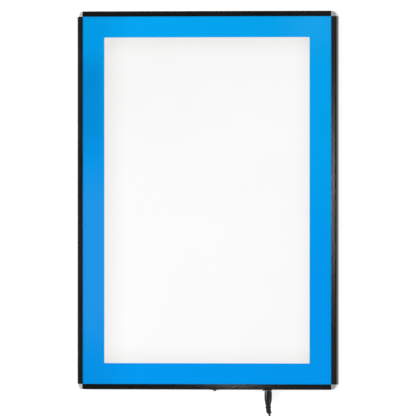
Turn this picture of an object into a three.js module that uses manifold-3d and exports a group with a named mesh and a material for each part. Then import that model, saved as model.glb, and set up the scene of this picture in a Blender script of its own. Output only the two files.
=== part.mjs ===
// A light table: an opal sheet inside a blue border, lit from its two long edges, in a slim frame of black
// rails with bright corner pieces, and a low-voltage lead that plugs into its lower rail, by a push button.
// Millimetres, +Z up. It lies on its feet with the lit face up and the jack on the -Y side. The origin is on
// the surface that it stands on, at the middle of the frame and the jack's nose.
import * as THREE from 'three';
import { mergeVertices } from 'three/addons/utils/BufferGeometryUtils.js';
import Module from 'manifold-3d';

const wasm = await Module();
wasm.setup();

// ---- Driving dimensions ----
const LIT = { x: 279.4, y: 431.8 };             // the lit window, 11 by 17 inches
const BORDER = { x: 29.5, y: 27.7 };            // the blue border's visible width at the sides and at the ends
const WINDOW_CORNER = 1.2;                      // radius of the lit window's corners
const RAIL = { width: 7.2, height: 12.7, web: 1.5, lip: 1.2, topLip: 0.7, chamfer: 0.4, shoulder: 2.0 };
const RIB = { near: 5.1, far: 5.9, top: 7.9 };  // rib inside a rail: distance from the outer face, and height
const RAIL_BOTTOM = 2.0;                        // the rails' height above the surface
const SHOULDER_STEPS = 6;                       // flats round a rail's outer top edge
const LEG = { near: 1.65, far: 4.95, low: 1.35, high: 7.75, reach: 18 };
const SCREW = { head: 1.9, thread: 1.0, sink: 0.9, length: 5.5, gap: 0.15, inset: 11 };
const FOOT = { radius: 6.35, x: 150, y: 222 };

// Layers of the sandwich, from the back, as heights above the surface.
const BACK = { low: 3.3, high: 4.3 };
const REFLECTOR = { low: 4.4, high: 4.7 };
const GUIDE = { low: 4.8, high: 8.8 };
const DIFFUSER = { low: 8.9, high: 9.8 };
const COVER = { low: 10.0, high: 13.5 };
const FILM = { low: 13.6, high: 13.85 };
const UNDER_LIP = 3.2;                          // how far the cover reaches under the rails' lips
const GUTTER = 6.0;                             // from the window's lower side down to the light guide's end

const STRIP = { back: 170.4, thick: 1.0, low: 5.0, high: 8.6, half: 243.0 };
const LED = { count: 39, pitch: 12, long: 3.5, tall: 1.4, deep: 0.9 };

const JACK = {
  x: 82.3, z: 8.6, nose: 1.3, deep: 14, left: 6.5, right: 4.5, low: 4.4, high: 12.8, socket: 3.15,
};
const PIN = { radius: 1.0, behindNose: 1.5 };
const SWITCH = { x: 9.4, z: 7.2, half: { x: 6, z: 2.6 }, proud: 0.3, deep: 6.5 };
const CHAMBER = { radius: 2.2, near: 1.2, far: 5.9 };                   // inside the switch, behind its face
const BUTTON = { radius: 1.6, tip: 2.1, ease: 0.35, hole: 1.8, flange: 2.0, flangeThick: 0.8, gap: 0.2 };
const COLLAR = { radius: 2.55, proud: 0.9, ease: 0.5 };                 // raised round the button
const TERMINAL = { x: 3.6, z: 1.7, width: 1.2, thick: 0.5, near: 4.4, far: 9.2, gap: 0.2 };
const SPRING = { mean: 1.15, radius: 0.2, turns: 3, near: 2.6, far: 4.5, steps: 36 };
const WIRE = { radius: 0.6, z: 5.4 };

const PLUG = { inserted: 9.2, tail: 4.3, length: 30.5, bendFrom: 19, sideways: 1.0, droop: 2.0, gap: 0.3 };
const CORD = { diameter: 3.0 };
const COIL = { x: 67.5, y: -325, mean: 18, half: 4.7, height: 12.1, tieAngle: 140, lift: 1.1 };
const TIE = { inner: 12.6, outer: 23.0, low: 0.8, high: 13.6, thick: 0.7, width: 6 };
const ADAPTER = { x: -13, y: -335, long: 62, wide: 38, deep: 28, wall: 2, corner: 5, part: 14 };
const BLADE = { width: 6.35, thick: 1.52, spacing: 12.7, top: 45, bottom: 21, x: -30 };

// ---- Worked-out sizes ----
const inside = { x: LIT.x / 2 + BORDER.x, y: LIT.y / 2 + BORDER.y };    // the rails' inner edges
const outside = { x: inside.x + RAIL.width, y: inside.y + RAIL.width }; // the rails' outer faces
const sheetHalf = { x: outside.x - RIB.far - 0.3, y: outside.y - RIB.far - 0.3 };
const guideHalf = STRIP.back - STRIP.thick - LED.deep - 0.4;
const guideEnd = -(inside.y - GUTTER);
const jackFace = -(outside.y + JACK.nose);
const centring = JACK.nose / 2;                 // moves the table so that its frame and jack are centred

// ---- Materials ----
function finish(color, roughness, metalness = 0) {
  return new THREE.MeshStandardMaterial({ color, roughness, metalness });
}

const blackRail = finish(0x191a1b, 0.38, 0.6);
const silver = finish(0xb9bbbd, 0.3, 1.0);
const screwBlack = finish(0x202022, 0.4, 0.8);
const greySheet = finish(0xb4b6b8, 0.5, 0.4);
const whiteSheet = finish(0xf4f4f2, 0.5);
const acrylic = finish(0xe9f1f2, 0.08);
const opal = finish(0xfafaf8, 0.25);
const blueFilm = finish(0x0098e8, 0.2);
const boardWhite = finish(0xeceae2, 0.5);
const boardGreen = finish(0x2f6b3a, 0.5);
const rubberBlack = finish(0x1b1b1b, 0.8);
const plasticBlack = finish(0x1d1d1e, 0.45);
const nickel = finish(0xc9c6bd, 0.25, 1.0);
const wireRed = finish(0xb01818, 0.45);
const wireBlack = finish(0x18181a, 0.45);
const ferrite = finish(0x3a3632, 0.6);

// ---- Helpers ----
function shape(points) {
  return new THREE.Shape(points.map(([x, y]) => new THREE.Vector2(x, y)));
}

function rounded(width, height, radius, ShapeClass = THREE.Shape) {
  const outline = new ShapeClass();
  const x = width / 2 - radius;
  const y = height / 2 - radius;
  outline.moveTo(-x, -y - radius);
  outline.lineTo(x, -y - radius);
  outline.absarc(x, -y, radius, -Math.PI / 2, 0);
  outline.absarc(x, y, radius, 0, Math.PI / 2);
  outline.absarc(-x, y, radius, Math.PI / 2, Math.PI);
  outline.absarc(-x, -y, radius, Math.PI, Math.PI * 1.5);
  return outline;
}

function extrude(outline, depth, curveSegments = 3) {
  return new THREE.ExtrudeGeometry(outline, { depth, bevelEnabled: false, curveSegments });
}

function slab(outline, low, high) {
  return extrude(outline).scale(1, 1, high - low).translate(0, 0, low);
}

function box(low, high) {
  const size = high.map((v, k) => v - low[k]);
  return new THREE.BoxGeometry(...size).translate(...high.map((v, k) => (v + low[k]) / 2));
}

// A profile of [radius, height] points, turned about Z.
function turned(profile, segments = 16) {
  const points = profile.map(([r, h]) => new THREE.Vector2(r, h));
  return new THREE.LatheGeometry(points, segments).rotateX(Math.PI / 2);
}

function solid(geometry) {
  const bare = geometry.index ? geometry.toNonIndexed() : geometry.clone();
  bare.deleteAttribute('normal');
  bare.deleteAttribute('uv');
  const merged = mergeVertices(bare, 1e-4);
  return new wasm.Manifold(new wasm.Mesh({
    numProp: 3,
    vertProperties: new Float32Array(merged.attributes.position.array),
    triVerts: new Uint32Array(merged.index.array),
  }));
}

function geometryOf(manifold) {
  const made = manifold.getMesh();
  const geometry = new THREE.BufferGeometry();
  geometry.setAttribute('position', new THREE.BufferAttribute(new Float32Array(made.vertProperties), 3));
  geometry.setIndex(new THREE.BufferAttribute(new Uint32Array(made.triVerts), 1));
  const flat = geometry.toNonIndexed();
  flat.computeVertexNormals();
  return flat;
}

function cut(geometry, ...tools) {
  return geometryOf(tools.reduce((left, tool) => left.subtract(solid(tool)), solid(geometry)));
}

function join(geometry, ...others) {
  return geometryOf(others.reduce((whole, other) => whole.add(solid(other)), solid(geometry)));
}

function mesh(name, geometry, material) {
  const made = new THREE.Mesh(geometry, material);
  made.name = name;
  return made;
}

function placed(object, x, y, z, turnZ = 0) {
  object.position.set(x, y, z);
  object.rotation.z = turnZ;
  return object;
}

// A rectangle with a small square cut out of each corner, where the corner pieces stand.
function notched(halfX, halfY) {
  const x = inside.x - 0.3;
  const y = inside.y - 0.3;
  return shape([[-x, -halfY], [x, -halfY], [x, -y], [halfX, -y], [halfX, y], [x, y],
    [x, halfY], [-x, halfY], [-x, y], [-halfX, y], [-halfX, -y], [-x, -y]]);
}

// ---- Frame ----
const screwCut = [[0, -1], [SCREW.head + 1 + SCREW.gap, -1], [SCREW.thread + SCREW.gap, SCREW.sink],
  [SCREW.thread + SCREW.gap, SCREW.length + 0.4], [0, SCREW.length + 0.4]];
const screwMiddle = (LEG.near + LEG.far) / 2;

// A rail in its own frame: its outer face at x = 0, its length along Y and its underside at z = 0.
function rail(length, { jackAt = null, switchAt = null } = {}) {
  const { width, height, web, lip, topLip, chamfer, shoulder } = RAIL;
  const round = Array.from({ length: SHOULDER_STEPS + 1 }, (_, k) => {
    const angle = (k / SHOULDER_STEPS) * (Math.PI / 2);
    return [shoulder - shoulder * Math.sin(angle), height - shoulder + shoulder * Math.cos(angle)];
  });
  const profile = shape([[chamfer, 0], [width, 0], [width, lip], [RIB.far, lip], [RIB.far, RIB.top],
    [RIB.near, RIB.top], [RIB.near, lip], [web, lip], [web, height - topLip], [width, height - topLip],
    [width, height], ...round, [0, chamfer]]);
  const bar = extrude(profile, length).rotateX(Math.PI / 2).translate(0, length / 2, 0);
  const screwAt = length / 2 - SCREW.inset;
  const tools = [-1, 1].map((end) => turned(screwCut).translate(screwMiddle, end * screwAt, 0));
  if (jackAt !== null) {
    const low = JACK.low - RAIL_BOTTOM - 0.2;
    const high = JACK.high - RAIL_BOTTOM + 0.15;
    tools.push(box([-1, jackAt - JACK.right - 0.2, low], [web + 0.1, jackAt + JACK.left + 0.2, high]));
    tools.push(box([RIB.near - 0.1, jackAt - JACK.right - 0.3, low - 0.5],
      [RIB.far + 0.1, jackAt + JACK.left + 0.3, RIB.top + 1]));
  }
  if (switchAt !== null) {
    const halfSlot = SWITCH.half.x + 0.2;
    const middle = SWITCH.z - RAIL_BOTTOM;
    const low = middle - SWITCH.half.z - 0.2;
    const high = middle + SWITCH.half.z + 0.2;
    tools.push(box([-1, switchAt - halfSlot, low], [web + 0.1, switchAt + halfSlot, high]));
    tools.push(box([RIB.near - 0.1, switchAt - halfSlot - 0.1, low],
      [RIB.far + 0.1, switchAt + halfSlot + 0.1, RIB.top + 1]));
  }
  return cut(bar, ...tools);
}

// A corner piece in its own frame: its outer corner at x = y = 0, with one leg along X and one along Y.
function corner() {
  const r = RAIL.width;
  const f = RAIL.shoulder;
  const bend = [0, 1, 2, 3].map((k) => (k * Math.PI) / 6);
  const profile = [[0, 0], ...bend.map((a) => [r - f + f * Math.sin(a), f - f * Math.cos(a)]),
    ...bend.map((a) => [r - f + f * Math.cos(a), RAIL.height - f + f * Math.sin(a)]), [0, RAIL.height]];
  const round = solid(turned(profile, 32).translate(r, r, 0));
  const head = geometryOf(round.intersect(solid(box([0, 0, 0], [r, r, RAIL.height]))));
  const root = RAIL.width - 3;
  const legs = [box([root, LEG.near, LEG.low], [r + LEG.reach, LEG.far, LEG.high]),
    box([LEG.near, root, LEG.low], [LEG.far, r + LEG.reach, LEG.high])];
  const holes = [turned(screwCut).translate(r + SCREW.inset, screwMiddle, 0),
    turned(screwCut).translate(screwMiddle, r + SCREW.inset, 0)];
  return cut(join(head, ...legs), ...holes);
}

function screw() {
  const { head, thread, sink, length } = SCREW;
  return turned([[0, 0], [head, 0], [thread, sink], [thread, length - 0.5], [thread - 0.4, length],
    [0, length]], 12);
}

function frame() {
  const group = new THREE.Group();
  group.position.z = RAIL_BOTTOM;
  const sides = [
    { name: 'left', at: [-outside.x, 0], turn: 0, length: inside.y * 2 },
    { name: 'bottom', at: [0, -outside.y], turn: Math.PI / 2, length: inside.x * 2,
      openings: { jackAt: -JACK.x, switchAt: -SWITCH.x } },
    { name: 'right', at: [outside.x, 0], turn: Math.PI, length: inside.y * 2 },
    { name: 'top', at: [0, outside.y], turn: -Math.PI / 2, length: inside.x * 2 },
  ];
  for (const side of sides) {
    const made = new THREE.Group();
    made.add(mesh(`rail_${side.name}`, rail(side.length, side.openings), blackRail));
    for (const [end, sign] of [['a', -1], ['b', 1]]) {
      const piece = mesh(`screw_${side.name}_${end}`, screw(), screwBlack);
      made.add(placed(piece, screwMiddle, sign * (side.length / 2 - SCREW.inset), 0));
    }
    group.add(placed(made, ...side.at, 0, side.turn));
  }
  const corners = [['bottom_left', -1, -1, 0], ['bottom_right', 1, -1, 1], ['top_right', 1, 1, 2],
    ['top_left', -1, 1, 3]];
  for (const [name, x, y, quarter] of corners) {
    const piece = mesh(`corner_${name}`, corner(), silver);
    group.add(placed(piece, x * outside.x, y * outside.y, 0, (quarter * Math.PI) / 2));
  }
  return group;
}

// ---- Sheets ----
function opticalSheet(name, layer, material) {
  return mesh(name, box([-guideHalf, guideEnd, layer.low], [guideHalf, sheetHalf.y, layer.high]), material);
}

function sheets() {
  const group = new THREE.Group();
  const half = { x: inside.x + UNDER_LIP, y: inside.y + UNDER_LIP };
  group.add(mesh('back_plate', slab(notched(sheetHalf.x, sheetHalf.y), BACK.low, BACK.high), greySheet));
  group.add(opticalSheet('reflector_sheet', REFLECTOR, whiteSheet));
  group.add(opticalSheet('light_guide', GUIDE, acrylic));
  group.add(opticalSheet('diffuser_sheet', DIFFUSER, whiteSheet));
  const jackNotch = box([JACK.x - JACK.left - 0.4, -half.y - 1, COVER.low - 1],
    [JACK.x + JACK.right + 0.4, jackFace + JACK.deep + 0.4, COVER.high + 1]);
  group.add(mesh('cover_sheet', cut(slab(notched(half.x, half.y), COVER.low, COVER.high), jackNotch), opal));
  const film = notched(half.x, half.y);
  film.holes.push(rounded(LIT.x, LIT.y, WINDOW_CORNER, THREE.Path));
  group.add(mesh('border_film', slab(film, FILM.low, FILM.high), blueFilm));
  return group;
}

// ---- Lighting ----
// A strip of LEDs on a narrow board that stands on edge; its LEDs face +X.
function ledStrip() {
  const board = box([0, -STRIP.half, STRIP.low], [STRIP.thick, STRIP.half, STRIP.high]);
  const middle = (STRIP.low + STRIP.high) / 2;
  const leds = Array.from({ length: LED.count }, (_, k) => {
    const y = (k - (LED.count - 1) / 2) * LED.pitch;
    return box([STRIP.thick - 0.3, y - LED.long / 2, middle - LED.tall / 2],
      [STRIP.thick + LED.deep, y + LED.long / 2, middle + LED.tall / 2]);
  });
  return join(board, ...leds);
}

function wire(name, fromX, toX, y, material) {
  const geometry = new THREE.CylinderGeometry(WIRE.radius, WIRE.radius, toX - fromX, 8)
    .rotateZ(Math.PI / 2).translate((fromX + toX) / 2, y, WIRE.z);
  return mesh(name, geometry, material);
}

function lighting() {
  const group = new THREE.Group();
  group.add(placed(mesh('led_strip_left', ledStrip(), boardWhite), -STRIP.back, 0, 0));
  group.add(placed(mesh('led_strip_right', ledStrip(), boardWhite), STRIP.back, 0, 0, Math.PI));
  const end = STRIP.back - STRIP.thick - 0.3;
  const rows = [['positive', guideEnd - 5.6, wireRed], ['negative', guideEnd - 3.6, wireBlack]];
  for (const [name, y, material] of rows) {
    group.add(wire(`wire_left_${name}`, -end, JACK.x - JACK.left - 0.4, y, material));
    group.add(wire(`wire_right_${name}`, JACK.x + JACK.right + 0.4, end, y, material));
  }
  return group;
}

// ---- Jack, in a frame with its axis along -Z and its nose face at z = 0 ----
function jack() {
  const { left, right, low, high, deep, socket, z } = JACK;
  const block = box([-left, low - z, -deep], [right, high - z, 0]);
  const bore = turned([[0, -10], [socket, -10], [socket, 1], [0, 1]], 24);
  const pinHole = turned([[0, -deep - 1], [PIN.radius + 0.1, -deep - 1], [PIN.radius + 0.1, -9], [0, -9]], 12);
  const slot = box([-5.3, -1.9, -deep - 1], [-2.6, 1.9, -1.2]);
  const housing = mesh('jack_housing', cut(block, bore, pinHole, slot), plasticBlack);
  const tip = -PIN.behindNose;
  const pin = mesh('jack_pin', turned([[0, -deep - 0.1], [PIN.radius, -deep - 0.1], [PIN.radius, tip - 0.6],
    [0.5, tip], [0, tip]], 12), nickel);
  // The leaf's outline is drawn in x and depth, and extruded across the jack.
  const leaf = shape([[-5.2, -2.1], [-3.55, -4.6], [-4.9, -8.2], [-4.9, -13.8], [-4.5, -13.8], [-4.5, -8.2],
    [-3.1, -4.6], [-4.9, -1.9]]);
  const spring = extrude(leaf, 3).rotateX(Math.PI / 2).translate(0, 1.5, 0);
  const contact = mesh('jack_spring_contact', spring, nickel);
  const group = new THREE.Group();
  group.add(housing, pin, contact);
  group.rotation.x = Math.PI / 2;
  return placed(group, JACK.x, jackFace, z);
}

// ---- Push switch, in a frame with its axis along -Z and the rail's outer face at z = 0 ----
function pushSwitch() {
  const { half, proud, deep } = SWITCH;
  const block = box([-half.x, -half.z, -deep], [half.x, half.z, proud]);
  const collar = turned([[0, -0.5], [COLLAR.radius, -0.5], [COLLAR.radius, proud],
    [BUTTON.hole + COLLAR.ease, COLLAR.proud], [0, COLLAR.proud]], 24);
  const bore = turned([[0, -CHAMBER.far], [CHAMBER.radius, -CHAMBER.far], [CHAMBER.radius, -CHAMBER.near],
    [BUTTON.hole, -CHAMBER.near], [BUTTON.hole, 2], [0, 2]], 24);
  const sides = [['a', -1], ['b', 1]];
  const terminal = (side, gap) => {
    const x = side * TERMINAL.x;
    return box([x - TERMINAL.width / 2 - gap, TERMINAL.z - TERMINAL.thick / 2 - gap, -TERMINAL.far],
      [x + TERMINAL.width / 2 + gap, TERMINAL.z + TERMINAL.thick / 2 + gap, -TERMINAL.near + gap]);
  };
  const pockets = sides.map(([, side]) => terminal(side, TERMINAL.gap));
  const flangeFront = -CHAMBER.near - BUTTON.gap;
  const flangeBack = flangeFront - BUTTON.flangeThick;
  const button = turned([[0, flangeBack], [BUTTON.flange, flangeBack], [BUTTON.flange, flangeFront],
    [BUTTON.radius, flangeFront], [BUTTON.radius, BUTTON.tip - BUTTON.ease],
    [BUTTON.radius - BUTTON.ease, BUTTON.tip], [0, BUTTON.tip]], 24);
  const group = new THREE.Group();
  group.add(mesh('switch_housing', cut(join(block, collar), bore, ...pockets), plasticBlack));
  group.add(mesh('switch_button', button, plasticBlack), mesh('switch_spring', helix(), nickel));
  group.add(...sides.map(([name, side]) => mesh(`switch_terminal_${name}`, terminal(side, 0), nickel)));
  group.rotation.x = Math.PI / 2;
  return placed(group, SWITCH.x, -outside.y, SWITCH.z);
}

function helix() {
  const { mean, radius, turns, near, far, steps } = SPRING;
  const points = Array.from({ length: steps + 1 }, (_, k) => {
    const angle = (k / steps) * turns * Math.PI * 2;
    const depth = near + (k / steps) * (far - near);
    return new THREE.Vector3(mean * Math.cos(angle), mean * Math.sin(angle), -depth);
  });
  const section = new THREE.Shape().absarc(0, 0, radius, 0, Math.PI * 2);
  const path = new THREE.CatmullRomCurve3(points);
  const options = { steps, extrudePath: path, curveSegments: 3, bevelEnabled: false };
  return new THREE.ExtrudeGeometry(section, options);
}

// ---- Feet ----
function feet() {
  const group = new THREE.Group();
  const { radius, x, y } = FOOT;
  const profile = [[0, 0], [radius - 1.7, 0], [radius - 0.5, 0.7], [radius, BACK.low], [0, BACK.low]];
  for (const [name, sx, sy] of [['bottom_left', -1, -1], ['bottom_right', 1, -1], ['top_right', 1, 1],
    ['top_left', -1, 1]]) {
    group.add(placed(mesh(`foot_${name}`, turned(profile, 20), rubberBlack), sx * x, sy * y, 0));
  }
  return group;
}

// ---- Plug, in the jack's frame: z is the distance out from the jack's nose face ----
function bent(geometry) {
  const place = geometry.attributes.position;
  for (let k = 0; k < place.count; k++) {
    const along = Math.max(0, (place.getZ(k) - PLUG.bendFrom) / (PLUG.length - PLUG.bendFrom));
    place.setX(k, place.getX(k) + PLUG.sideways * along * along);
    place.setY(k, place.getY(k) - PLUG.droop * along * along);
  }
  return geometry;
}

function tube(inner, outer, low, high) {
  return turned([[inner, low], [outer, low], [outer, high], [inner, high], [inner, low]], 24);
}

function plug() {
  const pocket = PLUG.tail + PLUG.gap;
  const body = [[0, pocket], [2.85, pocket], [2.85, PLUG.gap], [4.4, PLUG.gap], [4.75, 0.8], [5.0, 3.2],
    [5.05, 8], [4.95, 12], [4.5, 14.4], [4.25, 15.2], [4.0, 17.8], [3.45, 18.7], [3.4, 20.3], [3.85, 21],
    [3.75, 23.3], [3.15, 24], [3.1, 24.9], [3.55, 25.6], [3.35, 29.4], [2.8, PLUG.length], [0, PLUG.length]];
  const group = new THREE.Group();
  group.add(mesh('plug_body', bent(turned(body, 16)), plasticBlack));
  group.add(mesh('plug_barrel', tube(2.35, 2.75, -PLUG.inserted, PLUG.tail), nickel));
  group.add(mesh('plug_insulator', tube(1.6, 2.2, -PLUG.inserted + 0.2, PLUG.tail), plasticBlack));
  group.add(mesh('plug_inner_contact', tube(1.2, 1.5, -PLUG.inserted + 0.8, PLUG.tail), nickel));
  group.rotation.x = Math.PI / 2;
  return placed(group, JACK.x, jackFace + centring, JACK.z);
}

// ---- Lead ----
// The lead's free stretches, as points down the middle of the cord: from the plug to the coil, and from the
// coil to the adapter.
const LEAD_ROUTE = [[83.45, -282.8, 6.4], [84.3, -288, 4.5], [85.2, -293.5, 2.8], [86.2, -299, 1.8],
  [87.1, -304, 1.52], [87.9, -308.5, 1.5], [88.4, -312.6, 1.5]];
const TAIL_ROUTE = [[55.2, -345.6, 10.5], [51.5, -344.6, 10.5], [46.5, -342.3, 10.7], [41.5, -339.2, 11.4],
  [37, -336.6, 12.6], [33.5, -335.3, 13.6], [30.6, -335, 14]];

function cordTube(name, route, steps) {
  const section = new THREE.Shape().absarc(0, 0, CORD.diameter / 2, 0, Math.PI * 2);
  const path = new THREE.CatmullRomCurve3(route.map((p) => new THREE.Vector3(...p)));
  const options = { steps, extrudePath: path, curveSegments: 4, bevelEnabled: false };
  return mesh(name, new THREE.ExtrudeGeometry(section, options), plasticBlack);
}

// How far the coil rises over its tie's band, at an angle in degrees about the coil.
function rise(angle) {
  const away = Math.abs(((angle - COIL.tieAngle + 540) % 360) - 180);
  return away > 45 ? 0 : COIL.lift * (0.5 + 0.5 * Math.cos((Math.max(0, away - 12) / 33) * Math.PI));
}

function coil() {
  const { mean, half, height } = COIL;
  const r = 1.3;
  const ring = turned([[mean - half + r, 0.02], [mean + half - r, 0.02], [mean + half, r],
    [mean + half, height - r], [mean + half - r, height], [mean - half + r, height],
    [mean - half, height - r], [mean - half, r], [mean - half + r, 0.02]], 36);
  const place = ring.attributes.position;
  for (let k = 0; k < place.count; k++) {
    const angle = THREE.MathUtils.radToDeg(Math.atan2(place.getY(k), place.getX(k)));
    place.setZ(k, place.getZ(k) + rise((angle + 360) % 360));
  }
  return placed(mesh('cord_coil', ring, plasticBlack), COIL.x, COIL.y, 0);
}

function tie() {
  const { inner, outer, low, high, thick, width } = TIE;
  const band = shape([[inner - thick, low - thick], [outer + thick, low - thick],
    [outer + thick, high + thick], [inner - thick, high + thick]]);
  band.holes.push(new THREE.Path([[inner, low], [outer, low], [outer, high], [inner, high]]
    .map(([x, y]) => new THREE.Vector2(x, y))));
  const loop = extrude(band, width).rotateX(Math.PI / 2).translate(0, width / 2, 0);
  const turn = THREE.MathUtils.degToRad(COIL.tieAngle);
  return placed(mesh('cord_tie', loop, rubberBlack), COIL.x, COIL.y, 0, turn);
}

// ---- Wall adapter, in a frame with its middle at x = y = 0 ----
// Its cover lies on the surface and its blades stand up.
const gripAt = ADAPTER.long / 2;

function adapterShell(low, high, floorLow) {
  const { long, wide, wall, corner: radius } = ADAPTER;
  const skin = slab(rounded(long, wide, radius), low, high);
  const cavity = floorLow
    ? slab(rounded(long - 2 * wall, wide - 2 * wall, radius - wall), low + wall, high + 1)
    : slab(rounded(long - 2 * wall, wide - 2 * wall, radius - wall), low - 1, high - wall);
  const gripHole = new THREE.CylinderGeometry(2.8, 2.8, 8, 16).rotateZ(Math.PI / 2)
    .translate(gripAt, 0, ADAPTER.part);
  return { skin, cavity, gripHole };
}

function adapter() {
  const group = new THREE.Group();
  const { wall, deep, part, wide } = ADAPTER;
  const lower = adapterShell(0, part - 0.05, true);
  group.add(mesh('adapter_cover', cut(lower.skin, lower.cavity, lower.gripHole), plasticBlack));
  const upper = adapterShell(part + 0.05, deep, false);
  const bladeX = BLADE.x - ADAPTER.x;
  const slots = [-1, 1].map((side) => box([bladeX - BLADE.width / 2 - 0.2,
    (side * BLADE.spacing) / 2 - BLADE.thick / 2 - 0.2, deep - wall - 1],
  [bladeX + BLADE.width / 2 + 0.2, (side * BLADE.spacing) / 2 + BLADE.thick / 2 + 0.2, deep + 1]));
  group.add(mesh('adapter_base', cut(upper.skin, upper.cavity, upper.gripHole, ...slots), plasticBlack));
  for (const [name, side] of [['a', -1], ['b', 1]]) {
    const outline = shape([[-BLADE.width / 2, BLADE.bottom], [BLADE.width / 2, BLADE.bottom],
      [BLADE.width / 2, BLADE.top - 1.6], [BLADE.width / 2 - 1.2, BLADE.top],
      [-BLADE.width / 2 + 1.2, BLADE.top], [-BLADE.width / 2, BLADE.top - 1.6]]);
    outline.holes.push(new THREE.Path().absarc(0, BLADE.top - 5, 1.6, 0, Math.PI * 2));
    const blade = extrude(outline, BLADE.thick).rotateX(Math.PI / 2).translate(0, BLADE.thick / 2, 0);
    group.add(placed(mesh(`adapter_blade_${name}`, blade, nickel), bladeX, (side * BLADE.spacing) / 2, 0));
  }
  const grip = [[0, -4.4], [4.2, -4.4], [4.2, -2.3], [2.5, -2.3], [2.5, 0.2], [3.5, 0.2], [3.5, 1.6],
    [2.9, 2.2], [3.1, 4.4], [2.6, 5], [2.8, 7], [2.3, 7.6], [2.4, 9.6], [2.1, 12], [0, 12]];
  const turnedGrip = turned(grip).rotateY(Math.PI / 2);
  group.add(placed(mesh('adapter_cord_grip', turnedGrip, rubberBlack), gripAt, 0, part));
  const boardTop = wall + 0.3 + 1.6;
  const boardHalf = wide / 2 - wall - 1;
  group.add(mesh('adapter_board', box([-27, -boardHalf, wall + 0.3], [22, boardHalf, boardTop]), boardGreen));
  const core = shape([[-10, -7], [10, -7], [10, -3], [12, -3], [12, 3], [10, 3], [10, 7], [-10, 7], [-10, 3],
    [-12, 3], [-12, -3], [-10, -3]]);
  group.add(placed(mesh('adapter_transformer', slab(core, boardTop + 0.3, 19), ferrite), 6, 0, 0));
  return placed(group, ADAPTER.x, ADAPTER.y, 0);
}

// ---- Assembly ----
const table = new THREE.Group();
table.add(frame(), sheets(), lighting(), jack(), pushSwitch(), feet());
table.position.y = centring;

const lead = new THREE.Group();
lead.add(plug(), cordTube('cord_lead', LEAD_ROUTE, 14), coil(), tie(), cordTube('cord_tail', TAIL_ROUTE, 14),
  adapter());

const group = new THREE.Group();
group.add(table, lead);

export default group;
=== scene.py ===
# The visual model of a light table: a lit opal sheet in a satin blue border, black rails with a push button
# and a jack, bright corner pieces, and a low-voltage lead with its coil and wall adapter. It is in the CAD
# model's frame. Shapes are drawn in millimetres; objects, lights and materials are in metres.
import math

import bpy
from mathutils import Matrix, Vector


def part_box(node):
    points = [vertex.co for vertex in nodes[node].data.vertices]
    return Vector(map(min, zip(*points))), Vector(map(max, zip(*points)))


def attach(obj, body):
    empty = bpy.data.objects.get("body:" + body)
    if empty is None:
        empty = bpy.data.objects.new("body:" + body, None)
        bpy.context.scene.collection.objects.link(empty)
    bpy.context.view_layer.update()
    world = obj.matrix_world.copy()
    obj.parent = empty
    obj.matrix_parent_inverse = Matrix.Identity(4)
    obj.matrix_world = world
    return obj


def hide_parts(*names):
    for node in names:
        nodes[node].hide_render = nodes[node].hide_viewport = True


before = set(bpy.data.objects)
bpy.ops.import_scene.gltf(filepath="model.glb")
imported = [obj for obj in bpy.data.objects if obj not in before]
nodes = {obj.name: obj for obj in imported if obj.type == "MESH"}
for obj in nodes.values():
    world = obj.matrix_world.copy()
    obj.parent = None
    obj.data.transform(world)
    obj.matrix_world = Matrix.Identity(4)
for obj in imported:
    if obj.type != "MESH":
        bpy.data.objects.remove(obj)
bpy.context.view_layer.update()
scene = bpy.context.scene

MM = 0.001
TAU = 2 * math.pi


# ---- Geometry helpers: a shape is (vertices, faces), in millimetres until thing() places it ----
def turned(profile, angles, centre=(0, 0), seam=0.0):
    """Vertices, and rows of their numbers: each (radius, height) of the profile at each angle about an axis.
    The seam is how far the first angle and the one half-way round stand proud."""
    vertices, rows = [], []
    for radius, height in profile:
        if radius == 0:
            rows.append([len(vertices)] * len(angles))
            vertices.append((*centre, height))
            continue
        rows.append(range(len(vertices), len(vertices) + len(angles)))
        for k, angle in enumerate(angles):
            r = radius + (seam if k % (len(angles) // 2) == 0 else 0)
            vertices.append((centre[0] + r * math.cos(angle), centre[1] + r * math.sin(angle), height))
    return vertices, rows


def skin(rows, count):
    """That many faces from each row to the next one. A row on the axis repeats its one vertex."""
    faces = []
    for low, high in zip(rows, rows[1:]):
        for k in range(count):
            n = (k + 1) % len(low)
            face = list(dict.fromkeys([low[k], low[n], high[n], high[k]]))
            if len(face) > 2:
                faces.append(face)
    return faces


def lathe(profile, segments=48, seam=0.0):
    """A profile of (radius, height) turned about Z; it starts and ends on the axis, or is a closed ring."""
    ring = profile[0] == profile[-1]
    angles = [TAU * k / segments for k in range(segments)]
    vertices, rows = turned(profile[:-1] if ring else profile, angles, seam=seam)
    if ring:
        rows.append(rows[0])
    return vertices, skin(rows, segments)


SLIGHT_TURN = 0.15                              # radians: an outline's corner under it stays as it is
CORNER_SHARE = 0.45                             # how much of a side a rounded corner may use up


def eased(points, radius, steps=4, closed=False):
    """The same outline with its corners rounded by about that radius."""
    out = []
    count = len(points)
    for k, point in enumerate(points):
        if not closed and k in (0, count - 1):
            out.append(tuple(point))
            continue
        here, before, after = (Vector(points[i % count]) for i in (k, k - 1, k + 1))
        back, ahead = before - here, after - here
        reach = min(radius, CORNER_SHARE * back.length, CORNER_SHARE * ahead.length)
        turn = math.pi - back.angle(ahead, 0)
        if turn < SLIGHT_TURN or reach < 1e-6:
            out.append(tuple(point))
            continue
        a, b = here + back.normalized() * reach, here + ahead.normalized() * reach
        for s in range(steps + 1):
            t = s / steps
            out.append(tuple(a * (1 - t) ** 2 + here * (2 * t * (1 - t)) + b * t ** 2))
    return out


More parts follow.
